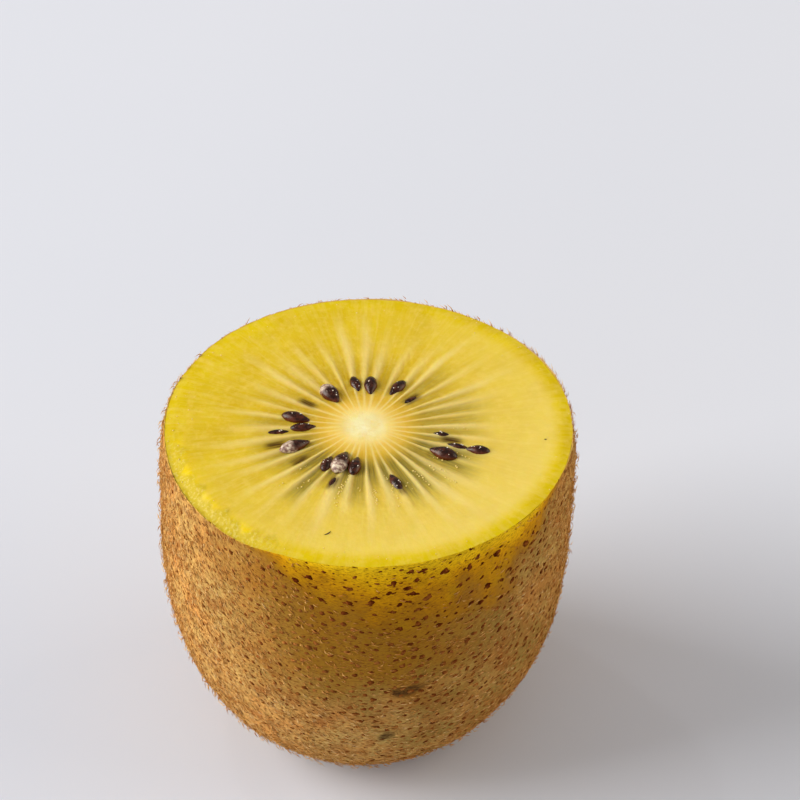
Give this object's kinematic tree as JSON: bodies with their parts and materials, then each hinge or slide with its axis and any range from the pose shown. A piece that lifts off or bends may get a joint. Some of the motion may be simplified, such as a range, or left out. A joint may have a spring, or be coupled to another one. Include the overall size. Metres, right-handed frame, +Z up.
{
  "type": "halved golden kiwi fruit",
  "caption": "Half of a golden kiwi fruit, cut across and standing on its stem end, with bare golden flesh, pale core and dark seeds on top.",
  "frame": {"origin": "middle of the small flat spot that the half rests on, at the middle of its stem end", "axes": "+Z up, along the fruit's axis from the stem end to the cut face. The skin's edge is torn on the -X -Y side."},
  "size_m": [0.0456, 0.0448, 0.0413],
  "materials": {
    "flesh": "gloss",
    "skin": "matte",
    "hair": "matte",
    "seed": "gloss",
    "stem_scar": "matte"
  },
  "bodies": {
    "root": {"kiwi_half": "flesh"}
  },
  "joints": []
}
